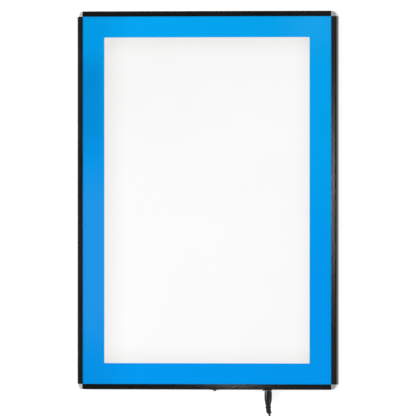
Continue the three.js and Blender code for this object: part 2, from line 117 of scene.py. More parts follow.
def rounded_outline(long, wide, radius, steps=6):
    """The outline of a rectangle with round corners, anticlockwise."""
    points = []
    for quarter, (sx, sy) in enumerate([(1, 1), (-1, 1), (-1, -1), (1, -1)]):
        for s in range(steps + 1):
            angle = (quarter + s / steps) * math.pi / 2
            points.append((sx * (long / 2 - radius) + radius * math.cos(angle),
                           sy * (wide / 2 - radius) + radius * math.sin(angle)))
    return points


def stack(rings):
    """A closed shape from rings of as many (x, y, z) points each, capped at the first and the last."""
    count = len(rings[0])
    vertices = [p for ring in rings for p in ring]
    faces = [list(range(count))[::-1], [len(vertices) - count + k for k in range(count)]]
    for row in range(len(rings) - 1):
        for k in range(count):
            n = (k + 1) % count
            a, b = row * count, (row + 1) * count
            faces.append([a + k, a + n, b + n, b + k])
    return vertices, faces


def box(low, high):
    """A block between two opposite corners."""
    corners = [(x, y, z) for z in (low[2], high[2]) for x, y in
               ((low[0], low[1]), (high[0], low[1]), (high[0], high[1]), (low[0], high[1]))]
    return stack([corners[:4], corners[4:]])


def sweep(path, section, closed=False):
    """A section of (across, up) points carried along a path of (position, across, up) frames."""
    rings = [[tuple(at + across * a + up * b) for a, b in section] for at, across, up in path]
    if not closed:
        return stack(rings)
    vertices, faces = stack(rings + [rings[0]])
    kept = len(vertices) - len(section)
    return vertices[:kept], [[i % kept for i in face] for face in faces[2:]]


def together(*shapes):
    """The shapes as one, each still closed by itself."""
    vertices, faces = [], []
    for more, joined in shapes:
        faces += [[i + len(vertices) for i in face] for face in joined]
        vertices += more
    return vertices, faces


# ---- Object helpers ----
def thing(name, shape, place=Matrix.Identity(4)):
    """An object from a shape in millimetres, placed in millimetres."""
    mesh = bpy.data.meshes.new(name)
    mesh.from_pydata([(place @ Vector(v)) * MM for v in shape[0]], [], shape[1])
    mesh.update()
    made = bpy.data.objects.new(name, mesh)
    scene.collection.objects.link(made)
    return made


def boolean(target, tools, operation="DIFFERENCE"):
    """Cuts the tools out of the target, or joins them to it, and removes them."""
    for tool in tools:
        modifier = target.modifiers.new("cut", "BOOLEAN")
        modifier.operation, modifier.solver, modifier.object = operation, "EXACT", tool
    bpy.context.view_layer.update()
    depsgraph = bpy.context.evaluated_depsgraph_get()
    result = bpy.data.meshes.new_from_object(target.evaluated_get(depsgraph))
    target.modifiers.clear()
    target.data = result
    for tool in tools:
        bpy.data.objects.remove(tool)
    return target


def smoothed(made, angle=38):
    """Shades it smooth, apart from the edges that are sharper than the angle."""
    made.data.shade_smooth()
    made.data.set_sharp_from_angle(angle=math.radians(angle))
    return made


def soft_shading(limit=30):
    """A node group that shades faces smooth, with edges sharper than the limit left sharp."""
    group = bpy.data.node_groups.new("soft_shading", "GeometryNodeTree")
    group.interface.new_socket("Geometry", in_out="INPUT", socket_type="NodeSocketGeometry")
    group.interface.new_socket("Geometry", in_out="OUTPUT", socket_type="NodeSocketGeometry")
    start, end = group.nodes.new("NodeGroupInput"), group.nodes.new("NodeGroupOutput")
    faces, edges = (group.nodes.new("GeometryNodeSetShadeSmooth") for _ in range(2))
    edges.domain, edges.inputs["Shade Smooth"].default_value = "EDGE", False
    angle = group.nodes.new("GeometryNodeInputMeshEdgeAngle")
    sharp = group.nodes.new("FunctionNodeCompare")
    sharp.operation, sharp.inputs[1].default_value = "GREATER_THAN", math.radians(limit)
    group.links.new(start.outputs[0], faces.inputs["Geometry"])
    group.links.new(faces.outputs[0], edges.inputs["Geometry"])
    group.links.new(angle.outputs["Unsigned Angle"], sharp.inputs[0])
    group.links.new(sharp.outputs[0], edges.inputs["Selection"])
    group.links.new(edges.outputs[0], end.inputs[0])
    return group


SOFT_SHADING = soft_shading()


def bevelled(made, width, segments=2, round_faces=False):
    """Eases the sharp edges, after the weld has joined the triangles' loose corners.
    round_faces shades a faceted round smooth, and leaves the flat faces beside it flat."""
    made.modifiers.new("weld", "WELD").merge_threshold = 1e-6
    if round_faces:
        made.modifiers.new("shading", "NODES").node_group = SOFT_SHADING
    bevel = made.modifiers.new("bevel", "BEVEL")
    bevel.width, bevel.segments, bevel.limit_method = width * MM, segments, "ANGLE"
    bevel.angle_limit = math.radians(35)
    bevel.harden_normals = not round_faces
    bevel.miter_outer = "MITER_ARC"
    if round_faces:
        made.modifiers.new("normals", "WEIGHTED_NORMAL").keep_sharp = True
    return made


def piece(made, body, slot, material, *replaced):
    """Gives a piece its material and its body, and hides the CAD nodes that it stands for. Its slot is not
    used.
    """
    made.data.materials.clear()
    made.data.materials.append(material)
    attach(made, body)
    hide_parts(*replaced)
    return made


def middle(node):
    """The middle of a CAD node's box, in metres."""
    low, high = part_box(node)
    return (low + high) / 2


def box_mm(node):
    """A CAD node's box in millimetres: its low corner and its high corner."""
    return tuple(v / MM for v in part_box(node))


# ---- Camera: far off, a little to the right of straight above, with the table's far end at the top ----
VIEW_TURN = math.radians(13.2)
CAMERA_DISTANCE = 22.0
SENSOR = 36
VIEW_WIDE = 0.5509                              # what the frame takes in, at the distance that it looks to
PANEL_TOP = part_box("rail_top")[1].z
PANEL_Y = middle("rail_left").y
AIM_RIGHT, AIM_DOWN = 0.00186, 0.01019          # where the lens points, from the middle of the panel
view_right = Vector((math.cos(VIEW_TURN), 0, -math.sin(VIEW_TURN)))
view_back = Vector((math.sin(VIEW_TURN), 0, math.cos(VIEW_TURN)))
aim = Vector((0, PANEL_Y - AIM_DOWN, PANEL_TOP)) + view_right * AIM_RIGHT

lens = bpy.data.cameras.new("camera")
lens.sensor_width = SENSOR
lens.lens = SENSOR * CAMERA_DISTANCE / VIEW_WIDE
lens.clip_start, lens.clip_end = 1, 60
camera = bpy.data.objects.new("camera", lens)
camera.location = aim + view_back * CAMERA_DISTANCE
camera.rotation_euler = (0, VIEW_TURN, 0)
scene.collection.objects.link(camera)
scene.camera = camera


# ---- Materials ----
def node_tree(owner):
    """The empty node tree of a material or a world."""
    owner.use_nodes = True
    tree = owner.node_tree
    tree.nodes.clear()
    return tree


def shader_of(name, sockets):
    """A new material with a Principled shader, whose plain values are set on its own sockets."""
    material = bpy.data.materials.new(name)
    tree = node_tree(material)
    shader = tree.nodes.new("ShaderNodeBsdfPrincipled")
    output = tree.nodes.new("ShaderNodeOutputMaterial")
    tree.links.new(shader.outputs[0], output.inputs["Surface"])
    for socket, value in sockets.items():
        shader.inputs[socket].default_value = value
    return material, tree, shader


def noise_from(tree, scale, stretch=(1, 1, 1)):
    """The output of a noise in the object's own coordinates."""
    place = tree.nodes.new("ShaderNodeTexCoord")
    mapping = tree.nodes.new("ShaderNodeMapping")
    mapping.inputs["Scale"].default_value = stretch
    noise = tree.nodes.new("ShaderNodeTexNoise")
    noise.inputs["Scale"].default_value = scale
    noise.inputs["Detail"].default_value = 3.0
    noise.inputs["Roughness"].default_value = 0.55
    tree.links.new(place.outputs["Object"], mapping.inputs["Vector"])
    tree.links.new(mapping.outputs["Vector"], noise.inputs["Vector"])
    return noise.outputs["Fac"]


def axes_from(tree, coordinates="Object"):
    """The X, Y and Z outputs of the coordinates."""
    place = tree.nodes.new("ShaderNodeTexCoord")
    axes = tree.nodes.new("ShaderNodeSeparateXYZ")
    tree.links.new(place.outputs[coordinates], axes.inputs[0])
    return axes.outputs


def math_node(tree, operation, *values):
    """The output of a Math node, with a link or a number on each of its inputs."""
    node = tree.nodes.new("ShaderNodeMath")
    node.operation = operation
    for socket, value in zip(node.inputs, values):
        if isinstance(value, (int, float)):
            socket.default_value = value
        else:
            tree.links.new(value, socket)
    return node.outputs[0]


def ramp(tree, factor, low, high, start=0.3, end=0.7):
    """Goes smoothly from low to high as the factor goes from start to end, which by default suit a noise."""
    node = tree.nodes.new("ShaderNodeMapRange")
    node.interpolation_type = "SMOOTHSTEP"
    for socket, value in zip(("From Min", "From Max", "To Min", "To Max"), (start, end, low, high)):
        node.inputs[socket].default_value = value
    tree.links.new(factor, node.inputs["Value"])
    return node.outputs["Result"]


def grey(value):
    return (value, value, value)


def blend_colors(tree, factor, a, b):
    """From a to b as the factor goes from 0 to 1; either is a colour or an output socket."""
    node = tree.nodes.new("ShaderNodeMix")
    node.data_type = "RGBA"
    for socket, value in ((6, a), (7, b)):
        if isinstance(value, tuple):
            node.inputs[socket].default_value = (*value, 1)
        else:
            tree.links.new(value, node.inputs[socket])
    tree.links.new(factor, node.inputs[0])
    return node.outputs[2]


def bump(tree, shader, height, distance):
    """Gives the shader a bump of that height, in metres."""
    node = tree.nodes.new("ShaderNodeBump")
    node.inputs["Distance"].default_value = distance
    node.inputs["Strength"].default_value = 1.0
    tree.links.new(height, node.inputs["Height"])
    tree.links.new(node.outputs["Normal"], shader.inputs["Normal"])


def worked(name, dark, light, roughness, metallic=0.0, grain=400, stretch=(1, 1, 1), relief=0.0, cloud=25,
           **more):
    """A procedural finish: a broad cloud between two close colours, and a grain in roughness and relief."""
    sockets = {"Metallic": metallic, **{k.replace("_", " "): v for k, v in more.items()}}
    material, tree, shader = shader_of(name, sockets)
    broad = noise_from(tree, cloud, stretch=tuple(min(s, 4) for s in stretch))
    fine = noise_from(tree, grain, stretch)
    tree.links.new(blend_colors(tree, ramp(tree, broad, 0, 1), dark, light), shader.inputs["Base Color"])
    tree.links.new(ramp(tree, fine, *roughness), shader.inputs["Roughness"])
    if relief:
        bump(tree, shader, fine, relief)
    return material


GLOW_HALF = {"X": 0.1397, "Y": 0.2159}          # half the sides of the window in the border
GLOW_MIDDLE = {"X": 0.0045, "Y": PANEL_Y - 0.0004}
GLOW_FADE = 0.03                                # how far the fade reaches to each side of the window's edge
CORNER_SLOPE, CORNER_FADE, CORNER_DIM = -0.8, (0, 0.27), 0.22   # the fade towards one corner
GLOW_WHITE, GLOW_DIM = (0.544, 0.54, 0.54), (0.36, 0.35, 0.335)


def opal_material():
    """The lit sheet: white in its middle, dimmer and warmer near the border and towards one corner."""
    material, tree, shader = shader_of("opal_sheet", {"Roughness": 0.07, "Specular IOR Level": 0.4,
                                                      "Emission Strength": 1.0})
    axes = axes_from(tree)
    fades = []
    for axis, half in GLOW_HALF.items():
        away = math_node(tree, "ABSOLUTE", math_node(tree, "SUBTRACT", axes[axis], GLOW_MIDDLE[axis]))
        fades.append(ramp(tree, away, 0, 1, half - GLOW_FADE, half + GLOW_FADE))
    corner_way = math_node(tree, "MULTIPLY_ADD", axes["X"], CORNER_SLOPE, axes["Y"])
    to_corner = ramp(tree, corner_way, 0, CORNER_DIM, *CORNER_FADE)
    fade = math_node(tree, "ADD", math_node(tree, "ADD", *fades), to_corner)
    glow = blend_colors(tree, math_node(tree, "MINIMUM", fade, 1.0), GLOW_WHITE, GLOW_DIM)
    tree.links.new(glow, shader.inputs["Emission Color"])
    base = blend_colors(tree, ramp(tree, noise_from(tree, 9), 0, 1), grey(0.376), grey(0.386))
    tree.links.new(base, shader.inputs["Base Color"])
    bump(tree, shader, noise_from(tree, 900), 0.00001)
    return material


BLUE, GREENER_BLUE = (0.0, 0.284, 0.79), (0.0, 0.336, 0.78)
# The first of these is painted shade, not ink; the second is a random tone in the print.
SHADE_BLUE, CLOUD_BLUE = (0.0, 0.18, 0.5), (0.0, 0.25, 0.64)
# Where the print changes and where painted shade falls on it, in metres: each pair is where a change starts
# and where it ends.
GREENER, SHADED_LEFT_SIDE = (-0.09, 0.16), (-0.156, -0.09)
SHADE_SPOT_FROM, SHADE_SPOT_TO, SHADE_SPOT_ACROSS = (0.04, 0.12), (0.165, 0.21), (-0.16, -0.12)


def border_material():
    """Satin print on film, greener towards one corner, with painted shade down one side and in a spot near
    its top.
    """
    material, tree, shader = shader_of("border_print_and_painted_shade", {"Specular IOR Level": 0.36})
    axes = axes_from(tree)
    across, along = axes["X"], axes["Y"]
    lean = math_node(tree, "MULTIPLY_ADD", across, 0.3, along)
    shade = blend_colors(tree, ramp(tree, lean, 0, 1, *GREENER), BLUE, GREENER_BLUE)
    # Painted shade: darker down the left side.
    shade = blend_colors(tree, ramp(tree, across, 0.38, 0, *SHADED_LEFT_SIDE), shade, SHADE_BLUE)
    # Painted shade: a darker spot near the top of the left side.
    spot = math_node(tree, "MULTIPLY", ramp(tree, along, 0, 1, *SHADE_SPOT_FROM),
                     ramp(tree, along, 0.6, 0, *SHADE_SPOT_TO))
    spot = math_node(tree, "MULTIPLY", spot, ramp(tree, across, 1, 0, *SHADE_SPOT_ACROSS))
    shade = blend_colors(tree, spot, shade, SHADE_BLUE)
    cloud = ramp(tree, noise_from(tree, 14), 0, 0.12)
    tree.links.new(blend_colors(tree, cloud, shade, CLOUD_BLUE), shader.inputs["Base Color"])
    tree.links.new(ramp(tree, noise_from(tree, 260), 0.13, 0.17), shader.inputs["Roughness"])
    bump(tree, shader, noise_from(tree, 420), 0.000006)
    return material


LED_PITCH = 0.012
BOARD_WHITE, TINNED, PHOSPHOR = (0.78, 0.77, 0.72), (0.5, 0.5, 0.48), (0.85, 0.62, 0.1)
# The edges of an LED's window and of the pads, measured from its middle.
WINDOW_END, PAD_FROM, PAD_TO = (0.0012, 0.00135), (0.0019, 0.002), (0.0029, 0.003)


def led_material():
    """A white strip with a yellow phosphor window on each LED and a tinned pad on each side of it."""
    material, tree, shader = shader_of("led_board", {})
    along = math_node(tree, "SUBTRACT", axes_from(tree)["Y"], PANEL_Y)
    away = math_node(tree, "PINGPONG", along, LED_PITCH / 2)
    window = ramp(tree, away, 1, 0, *WINDOW_END)
    pad = math_node(tree, "MULTIPLY", ramp(tree, away, 0, 1, *PAD_FROM), ramp(tree, away, 1, 0, *PAD_TO))
    board = blend_colors(tree, pad, BOARD_WHITE, TINNED)
    tree.links.new(blend_colors(tree, window, board, PHOSPHOR), shader.inputs["Base Color"])
    tree.links.new(ramp(tree, noise_from(tree, 700), 0.4, 0.55), shader.inputs["Roughness"])
    return material


def guide_material():
    """Clear acrylic with a fine field of etched dots."""
    material, tree, shader = shader_of("guide_sheet", {"Roughness": 0.06, "IOR": 1.49,
                                                       "Transmission Weight": 0.9})
    place = tree.nodes.new("ShaderNodeTexCoord")
    dots = tree.nodes.new("ShaderNodeTexVoronoi")
    dots.inputs["Scale"].default_value = 500
    dots.inputs["Randomness"].default_value = 0.0
    tree.links.new(place.outputs["Object"], dots.inputs["Vector"])
    spot = ramp(tree, dots.outputs["Distance"], 1, 0, 0.2, 0.28)
    tree.links.new(blend_colors(tree, spot, (0.9, 0.95, 0.95), grey(0.98)), shader.inputs["Base Color"])
    bump(tree, shader, spot, 0.00002)
    return material


EXTRUSION = 700                                 # the die lines' fineness, across a rail
# The rails are all one black anodise; the finish along X is made darker as painted shade on the top and
# bottom rails.
rail_y = worked("rail_along_y", grey(0.0065), grey(0.0095), (0.24, 0.32), grain=1.0, relief=0.00003,
                stretch=(EXTRUSION, 9, EXTRUSION), cloud=6, Specular_IOR_Level=0.16)
shaded_rail_x = worked("rail_along_x_painted_shade", grey(0.004), grey(0.006), (0.18, 0.26), grain=1.0, relief=0.00002,
                stretch=(9, EXTRUSION, EXTRUSION), cloud=6, Specular_IOR_Level=0.2)
silver = worked("corner_metal", grey(0.56), (0.64, 0.64, 0.65), (0.26, 0.4), metallic=0.62, grain=900,
                relief=0.00001)
screw_black = worked("screw_metal", grey(0.02), grey(0.05), (0.3, 0.45), metallic=0.8, grain=1500,
                     relief=0.00001)
rubber = worked("foot_rubber", grey(0.012), grey(0.022), (0.7, 0.85), grain=1800, relief=0.00005)
wire_red = worked("wire_red_pvc", (0.36, 0.008, 0.01), (0.46, 0.016, 0.014), (0.35, 0.5), grain=1200)
wire_black = worked("wire_black_pvc", grey(0.01), grey(0.02), (0.35, 0.5), grain=1200)
back_grey = worked("back_sheet", grey(0.41), grey(0.46), (0.42, 0.58), metallic=0.35, grain=1300,
                   relief=0.00003, cloud=7)
reflector = worked("reflector_film", grey(0.88), grey(0.92), (0.4, 0.5), grain=700)
diffuser = worked("diffuser_film", grey(0.86), grey(0.9), (0.45, 0.6), grain=1200, relief=0.00001)
nickel = worked("contact_metal", (0.6, 0.585, 0.54), (0.68, 0.665, 0.62), (0.22, 0.3), metallic=1.0,
                grain=2600, stretch=(1, 1, 0.12), relief=0.000003)
jack_black = worked("jack_plastic", grey(0.009), grey(0.014), (0.42, 0.55), grain=2200, relief=0.00002)
plug_black = worked("plug_pvc", grey(0.005), grey(0.009), (0.28, 0.38), grain=1600, relief=0.00002,
                    Specular_IOR_Level=0.3)
cord_black = worked("cord_pvc", grey(0.007), grey(0.013), (0.32, 0.45), grain=700, relief=0.00003)
tie_black = worked("tie_loop_fabric", grey(0.01), grey(0.035), (0.75, 0.95), grain=2600, relief=0.0002,
                   Sheen_Weight=0.35, Sheen_Roughness=0.4)
adapter_black = worked("adapter_plastic", grey(0.016), grey(0.023), (0.45, 0.6), grain=1900, relief=0.00006)
board_green = worked("board_resin", (0.01, 0.09, 0.03), (0.02, 0.14, 0.05), (0.35, 0.5), grain=300, cloud=260)
ferrite = worked("ferrite_core", grey(0.03), (0.07, 0.062, 0.055), (0.55, 0.75), grain=900, relief=0.00008)
opal, led_board, guide_acrylic, blue = opal_material(), led_material(), guide_material(), border_material()


# ---- The lead: its route first, in millimetres; it starts in the plug and ends inside the adapter ----
CORD = 3.0
COIL_X, COIL_Y, OUTER = 67.5, -325.0, 21.0      # the coil's middle, and the radius of its outermost turns
TIE_ANGLE, TIE_LIFT = 140.0, 1.1                # where the tie is, and how far the turns rise over its band
TIE_REACH, TIE_FLAT = 45.0, 12.0                # degrees from the tie at which the rise starts and ends
CROSSING = 72.0                                 # degrees in which the cord crosses to its next turn
LAG = CROSSING / 2
LEAD_IN = [(83.05, -277.6, 7.05), (83.2, -280.2, 6.85), (83.45, -282.8, 6.4), (83.85, -285.4, 5.5),
           (84.3, -288, 4.5), (84.75, -290.8, 3.6), (85.2, -293.5, 2.8), (85.7, -296.2, 2.2),
           (86.2, -299, 1.8), (86.65, -301.5, 1.6), (87.1, -304, 1.52), (87.5, -306.2, 1.5),
           (87.9, -308.5, 1.5), (88.2, -312.6, 1.5), (88.4, -316.8, 1.5), (88.5, -321, 1.5)]
LEAD_OUT = [(61.2, -346, 10.5), (55.2, -345.6, 10.5), (51.5, -344.6, 10.5), (49, -343.6, 10.6),
            (46.5, -342.3, 10.7), (44, -340.8, 11.0), (41.5, -339.2, 11.4), (39.2, -337.8, 12.0),
            (37, -336.6, 12.6), (35.2, -335.8, 13.15), (33.5, -335.3, 13.6), (30.6, -335, 14),
            (27, -335, 14), (23, -335, 14), (19, -335, 14), (15, -335, 14), (9, -335, 14)]

# Each move is (where it starts, in degrees wound, change of radius, change of height).
MOVES = [(360 + LAG, -CORD, 0), (720 + LAG, -CORD, 0), (1080, 0, CORD),
         (1440 - LAG, CORD, 0), (1800 - LAG, CORD, 0), (2160 - 2 * LAG, 0, CORD),
         (2520 - 3 * LAG, -CORD, 0), (2880 - 3 * LAG, -CORD, 0), (3240 - 4 * LAG, 0, CORD),
         (3600 - 5 * LAG, CORD, 0), (3960 - 5 * LAG, CORD, 0)]
WOUND, WOUND_STEP = 3960 + 90, 15               # degrees: eleven turns and a quarter, and from point to point


def even_bend(t):
    """From 0 to 1 with an even bend one way and then the other."""
    t = min(1.0, max(0.0, t))
    return 2 * t * t if t < 0.5 else 1 - 2 * (1 - t) ** 2


def over_tie(angle):
    """How far the coil rises over its tie's band."""
    away = abs((angle - TIE_ANGLE + 540) % 360 - 180)
    if away > TIE_REACH:
        return 0.0
    return TIE_LIFT * (0.5 + 0.5 * math.cos(max(0.0, away - TIE_FLAT) / (TIE_REACH - TIE_FLAT) * math.pi))


def coil_point(wound):
    """Where the cord is after that many degrees; it starts at the coil's +X side and winds clockwise."""
    radius, height = OUTER, CORD / 2
    for start, outward, upward in MOVES:
        share = even_bend((wound - start) / CROSSING)
        radius += outward * share
        height += upward * share
    angle = math.radians(-wound)
    return (COIL_X + radius * math.cos(angle), COIL_Y + radius * math.sin(angle),
            height + over_tie(-wound % 360))


def curve_through(name, points, diameter):
    """A round cord through the points."""
    data = bpy.data.curves.new(name, "CURVE")
    data.dimensions = "3D"
    data.resolution_u = 4
    data.bevel_depth, data.bevel_resolution, data.use_fill_caps = diameter / 2 * MM, 4, True
    spline = data.splines.new("BEZIER")
    spline.bezier_points.add(len(points) - 1)
    for bezier, point in zip(spline.bezier_points, points):
        bezier.co = Vector(point) * MM
        bezier.handle_left_type = bezier.handle_right_type = "AUTO"
    made = bpy.data.objects.new(name, data)
    scene.collection.objects.link(made)
    return made


route = LEAD_IN + [coil_point(w) for w in range(0, WOUND + 1, WOUND_STEP)] + LEAD_OUT
cord = piece(curve_through("power_cord", route, CORD), "power_lead", "cord_black", cord_black,
             "cord_lead", "cord_coil", "cord_tail")

# ---- Plug, in the jack's frame: Z is the distance out from the jack's nose ----
jack_axis = middle("plug_barrel")
nose_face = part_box("jack_housing")[0].y
PLUG_PLACE = (Matrix.Translation(Vector((jack_axis.x, nose_face, jack_axis.z)) / MM)
              @ Matrix.Rotation(math.pi / 2, 4, "X"))
PLUG_LONG, BEND_FROM, SIDEWAYS, DROOP = 30.5, 19.0, 1.0, 2.0     # the strain relief bends aside and droops
BODY = [(0, 4.6), (2.85, 4.6), (2.85, 0.3), (4.3, 0.3), (4.72, 0.75), (4.95, 2.6), (5.05, 6), (5.05, 9),
        (4.95, 12), (4.72, 13.5), (4.5, 14.4), (4.25, 15.2), (4.12, 16.4), (4.0, 17.8), (3.45, 18.5),
        (3.4, 20.4), (3.85, 21), (3.75, 23.3), (3.15, 24), (3.1, 24.9), (3.55, 25.6), (3.4, 28.2),
        (3.3, 29.6), (2.75, PLUG_LONG), (0, PLUG_LONG)]


def bent(shape):
    """The plug's strain relief, bent more and more towards its end."""
    vertices = []
    for x, y, z in shape[0]:
        along = max(0.0, (z - BEND_FROM) / (PLUG_LONG - BEND_FROM))
        vertices.append((x + SIDEWAYS * along * along, y - DROOP * along * along, z))
    return vertices, shape[1]


moulding = thing("plug_moulding", bent(lathe(eased(BODY, 0.35), 64, seam=0.05)), PLUG_PLACE)
plug_body = piece(smoothed(moulding, 50), "power_lead", "plug_black", plug_black, "plug_body")


def tube(inner, outer, low, high, ease=0.2):
    """The profile of a round tube with eased rims, for lathe()."""
    ring = eased([(inner, low), (outer, low), (outer, high), (inner, high)], ease, 3, closed=True)
    return ring + [ring[0]]


for name, profile, slot, material in [
        ("plug_barrel", tube(2.35, 2.75, -9.2, 4.3), "contact_nickel", nickel),
        ("plug_insulator", tube(1.6, 2.2, -9.0, 4.3), "plug_black", plug_black),
        ("plug_inner_contact", tube(1.2, 1.5, -8.4, 4.3, 0.1), "contact_nickel", nickel)]:
    made = smoothed(thing(name + "_turned", lathe(profile, 48), PLUG_PLACE))
    piece(made, "power_lead", slot, material, name)

# ---- Tie: a strap of loop fabric, once round the coil and a half more on top ----
TIE_IN, TIE_OUT, TIE_LOW, TIE_HIGH = 12.6, 23.0, 0.8, 13.6      # the loop's inside: radii and heights
STRAP, STRAP_WIDE = 0.7, 6.0                    # the fabric's thickness and width


def strap(offset, share):
    """A stretch of the strap, offset outwards, over a share of the loop from below its outer side."""
    long, high = TIE_OUT - TIE_IN + 2 * offset, TIE_HIGH - TIE_LOW + 2 * offset
    outline = rounded_outline(long, high, 2.4 + offset, 8)
    outline = outline[-6:] + outline[:-6]
    centre = ((TIE_IN + TIE_OUT) / 2, (TIE_LOW + TIE_HIGH) / 2)
    whole = share >= 1
    used = outline if whole else outline[:int(len(outline) * share)]
    frames = []
    for k, (r, z) in enumerate(used):
        a, b = outline[k - 1], outline[(k + 1) % len(outline)]
        along = Vector((b[0] - a[0], 0, b[1] - a[1])).normalized()
        out = Vector((along.z, 0, -along.x))
        frames.append((Vector((centre[0] + r, 0, centre[1] + z)), Vector((0, 1, 0)), out))
    wide = STRAP_WIDE / 2
    section = eased([(-wide, 0), (wide, 0), (wide, STRAP), (-wide, STRAP)], 0.25, 2, closed=True)
    return sweep(frames, section, closed=whole)


tie_place = Matrix.Translation((COIL_X, COIL_Y, 0)) @ Matrix.Rotation(math.radians(TIE_ANGLE), 4, "Z")
tie = piece(smoothed(thing("lead_tie", together(strap(0, 1), strap(STRAP + 0.02, 0.5)), tie_place)),
            "power_lead", "tie_black", tie_black, "cord_tie")

# ---- Wall adapter, in a frame with its middle at x = y = 0 and its cover's face at z = 0 ----
cover_low, cover_high = box_mm("adapter_cover")
ADAPTER_PLACE = Matrix.Translation(((cover_low.x + cover_high.x) / 2, (cover_low.y + cover_high.y) / 2, 0))
LONG, WIDE = cover_high.x - cover_low.x, cover_high.y - cover_low.y
DEEP = box_mm("adapter_base")[1].z
PART, PART_GAP = 14.0, 0.05                     # where the cover meets the base, and half the gap there
WALL, CORNER, FILLET = 2.0, 5.0, 1.8
BLADE_X, BLADE_SPACING = middle("adapter_blade_a").x / MM - ADAPTER_PLACE.translation.x, 12.7
SLOT_X, SLOT_Y, SLOT_DEEP = 3.38, 0.96, 4.0     # half the sides and the depth of a blade's slot in the base
GRIP_HOLE = 2.8
RECESS, RECESS_X, RECESS_DEEP = 26, 11, 0.35    # a shallow square recess in the base's face
# The cord grip's own frame: its Z points out of the case.
AT_GRIP = ADAPTER_PLACE @ Matrix.Translation((LONG / 2, 0, PART)) @ Matrix.Rotation(math.pi / 2, 4, "Y")


def shell(face, rim, sign):
    """Half of the case: from its outer face, round the fillet, up to the rim and back down inside."""
    levels = []
    for s in range(7):
        angle = s / 6 * math.pi / 2
        levels.append((face + sign * FILLET * (1 - math.sin(angle)), FILLET * (1 - math.cos(angle))))
    levels.reverse()
    levels += [(rim - sign * 0.35, 0), (rim, 0.3), (rim, WALL), (face + sign * (WALL + 0.8), WALL),
               (face + sign * (WALL + 0.2), WALL + 0.3), (face + sign * WALL, WALL + 1.0)]
    rings = []
    for z, inset in levels:
        radius = max(CORNER - inset, 0.6)
        rings.append([(x, y, z) for x, y in rounded_outline(LONG - 2 * inset, WIDE - 2 * inset, radius, 8)])
    vertices, faces = stack(rings)
    return vertices, (faces if sign > 0 else [face[::-1] for face in faces])


def grip_cutter():
    """The hole in the case's end that the cord grip goes through."""
    return thing("cutter", lathe([(0, -5), (GRIP_HOLE, -5), (GRIP_HOLE, 5), (0, 5)], 40), AT_GRIP)


def adapter_case():
    """Both halves of the case: a hole for the cord grip, and in the base the blades' slots and a recess."""
    cover = thing("adapter_cover_shell", shell(0, PART - PART_GAP, 1), ADAPTER_PLACE)
    boolean(cover, [grip_cutter()])
    cutters = [grip_cutter()]
    for side in (-1, 1):
        y = side * BLADE_SPACING / 2
        slot = box((BLADE_X - SLOT_X, y - SLOT_Y, DEEP - SLOT_DEEP), (BLADE_X + SLOT_X, y + SLOT_Y, DEEP + 1))
        cutters.append(thing("cutter", slot, ADAPTER_PLACE))
    square = rounded_outline(RECESS, RECESS, 1.5)
    recess = stack([[(x, y, z) for x, y in square] for z in (DEEP - RECESS_DEEP, DEEP + 1)])
    cutters.append(thing("cutter", recess, ADAPTER_PLACE @ Matrix.Translation((RECESS_X, 0, 0))))
    base = thing("adapter_base_shell", shell(DEEP, PART + PART_GAP, -1), ADAPTER_PLACE)
    boolean(base, cutters)
    return [piece(smoothed(cover, 30), "power_lead", "adapter_black", adapter_black, "adapter_cover"),
            piece(smoothed(base, 30), "power_lead", "adapter_black", adapter_black, "adapter_base")]


def adapter_grip():
    """The ribbed strain relief, with its flange inside the case."""
    outline = [(1.45, -4.4), (4.2, -4.4), (4.2, -2.3), (2.5, -2.3), (2.5, 0.2), (3.5, 0.2), (3.5, 1.6),
               (2.9, 2.0), (2.85, 2.6), (3.1, 3.0), (3.05, 4.4), (2.6, 4.8), (2.55, 5.4), (2.8, 5.8),
               (2.75, 7.0), (2.35, 7.4), (2.3, 8.0), (2.5, 8.4), (2.4, 9.6), (2.15, 10.2), (2.1, 12.0),
               (1.45, 12.0)]
    ring = eased(outline, 0.25, 3, closed=True)
    made = thing("adapter_strain_relief", lathe(ring + [ring[0]], 48), AT_GRIP)
    return piece(smoothed(made), "power_lead", "cord_black", plug_black, "adapter_cord_grip")


CLIP_LONG, CLIP_WIDE = 1.6, 1.2                 # how much a blade's tip loses at its corners
BLADE_HOLE, HOLE_FROM_TIP = 1.6, 5


def blade(node):
    """A flat blade with a clipped tip and a round hole."""
    low, high = box_mm(node)
    half, thick = (high.x - low.x) / 2, high.y - low.y
    outline = eased([(-half, low.z), (half, low.z), (half, high.z - CLIP_LONG), (half - CLIP_WIDE, high.z),
                     (-half + CLIP_WIDE, high.z), (-half, high.z - CLIP_LONG)], 0.5, 4, closed=True)
    place = Matrix.Translation(((low.x + high.x) / 2, high.y, 0)) @ Matrix.Rotation(math.pi / 2, 4, "X")
    sides = [[(x, z, depth) for x, z in outline] for depth in (0, thick)]
    made = thing(node + "_stamped", stack(sides), place)
    hole = lathe([(0, -1), (BLADE_HOLE, -1), (BLADE_HOLE, thick + 1), (0, thick + 1)], 40)
    boolean(made, [thing("cutter", hole, place @ Matrix.Translation((0, high.z - HOLE_FROM_TIP, 0)))])
    return piece(bevelled(smoothed(made, 30), 0.18, 3), "power_lead", "contact_nickel", nickel, node)


adapter_pieces = [*adapter_case(), adapter_grip(), blade("adapter_blade_a"), blade("adapter_blade_b")]


# ---- Frame: domed corner pieces with their legs, screws and feet ----
RAIL_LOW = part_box("rail_left")[0].z / MM
RADIUS, HEIGHT, SOFT_EDGE = 7.2, 12.7, 2.3
RIM_DROP, SHOULDER, SHOULDER_DROP = 0.45, 4.6, 0.12     # how the crowned top falls away outwards
LEG_NEAR, LEG_FAR, LEG_LOW, LEG_HIGH = 1.65, 4.95, 1.35, 7.75
LEG_REACH, LEG_ROOT = 18.0, 3.0                 # how far a leg goes into its rail, and into its corner's head
SCREW_INSET, SCREW_LINE = 11.0, (LEG_NEAR + LEG_FAR) / 2
SCREW_HOLE = [(0, -1), (3.05, -1), (1.15, 0.9), (1.15, 5.9), (0, 5.9)]


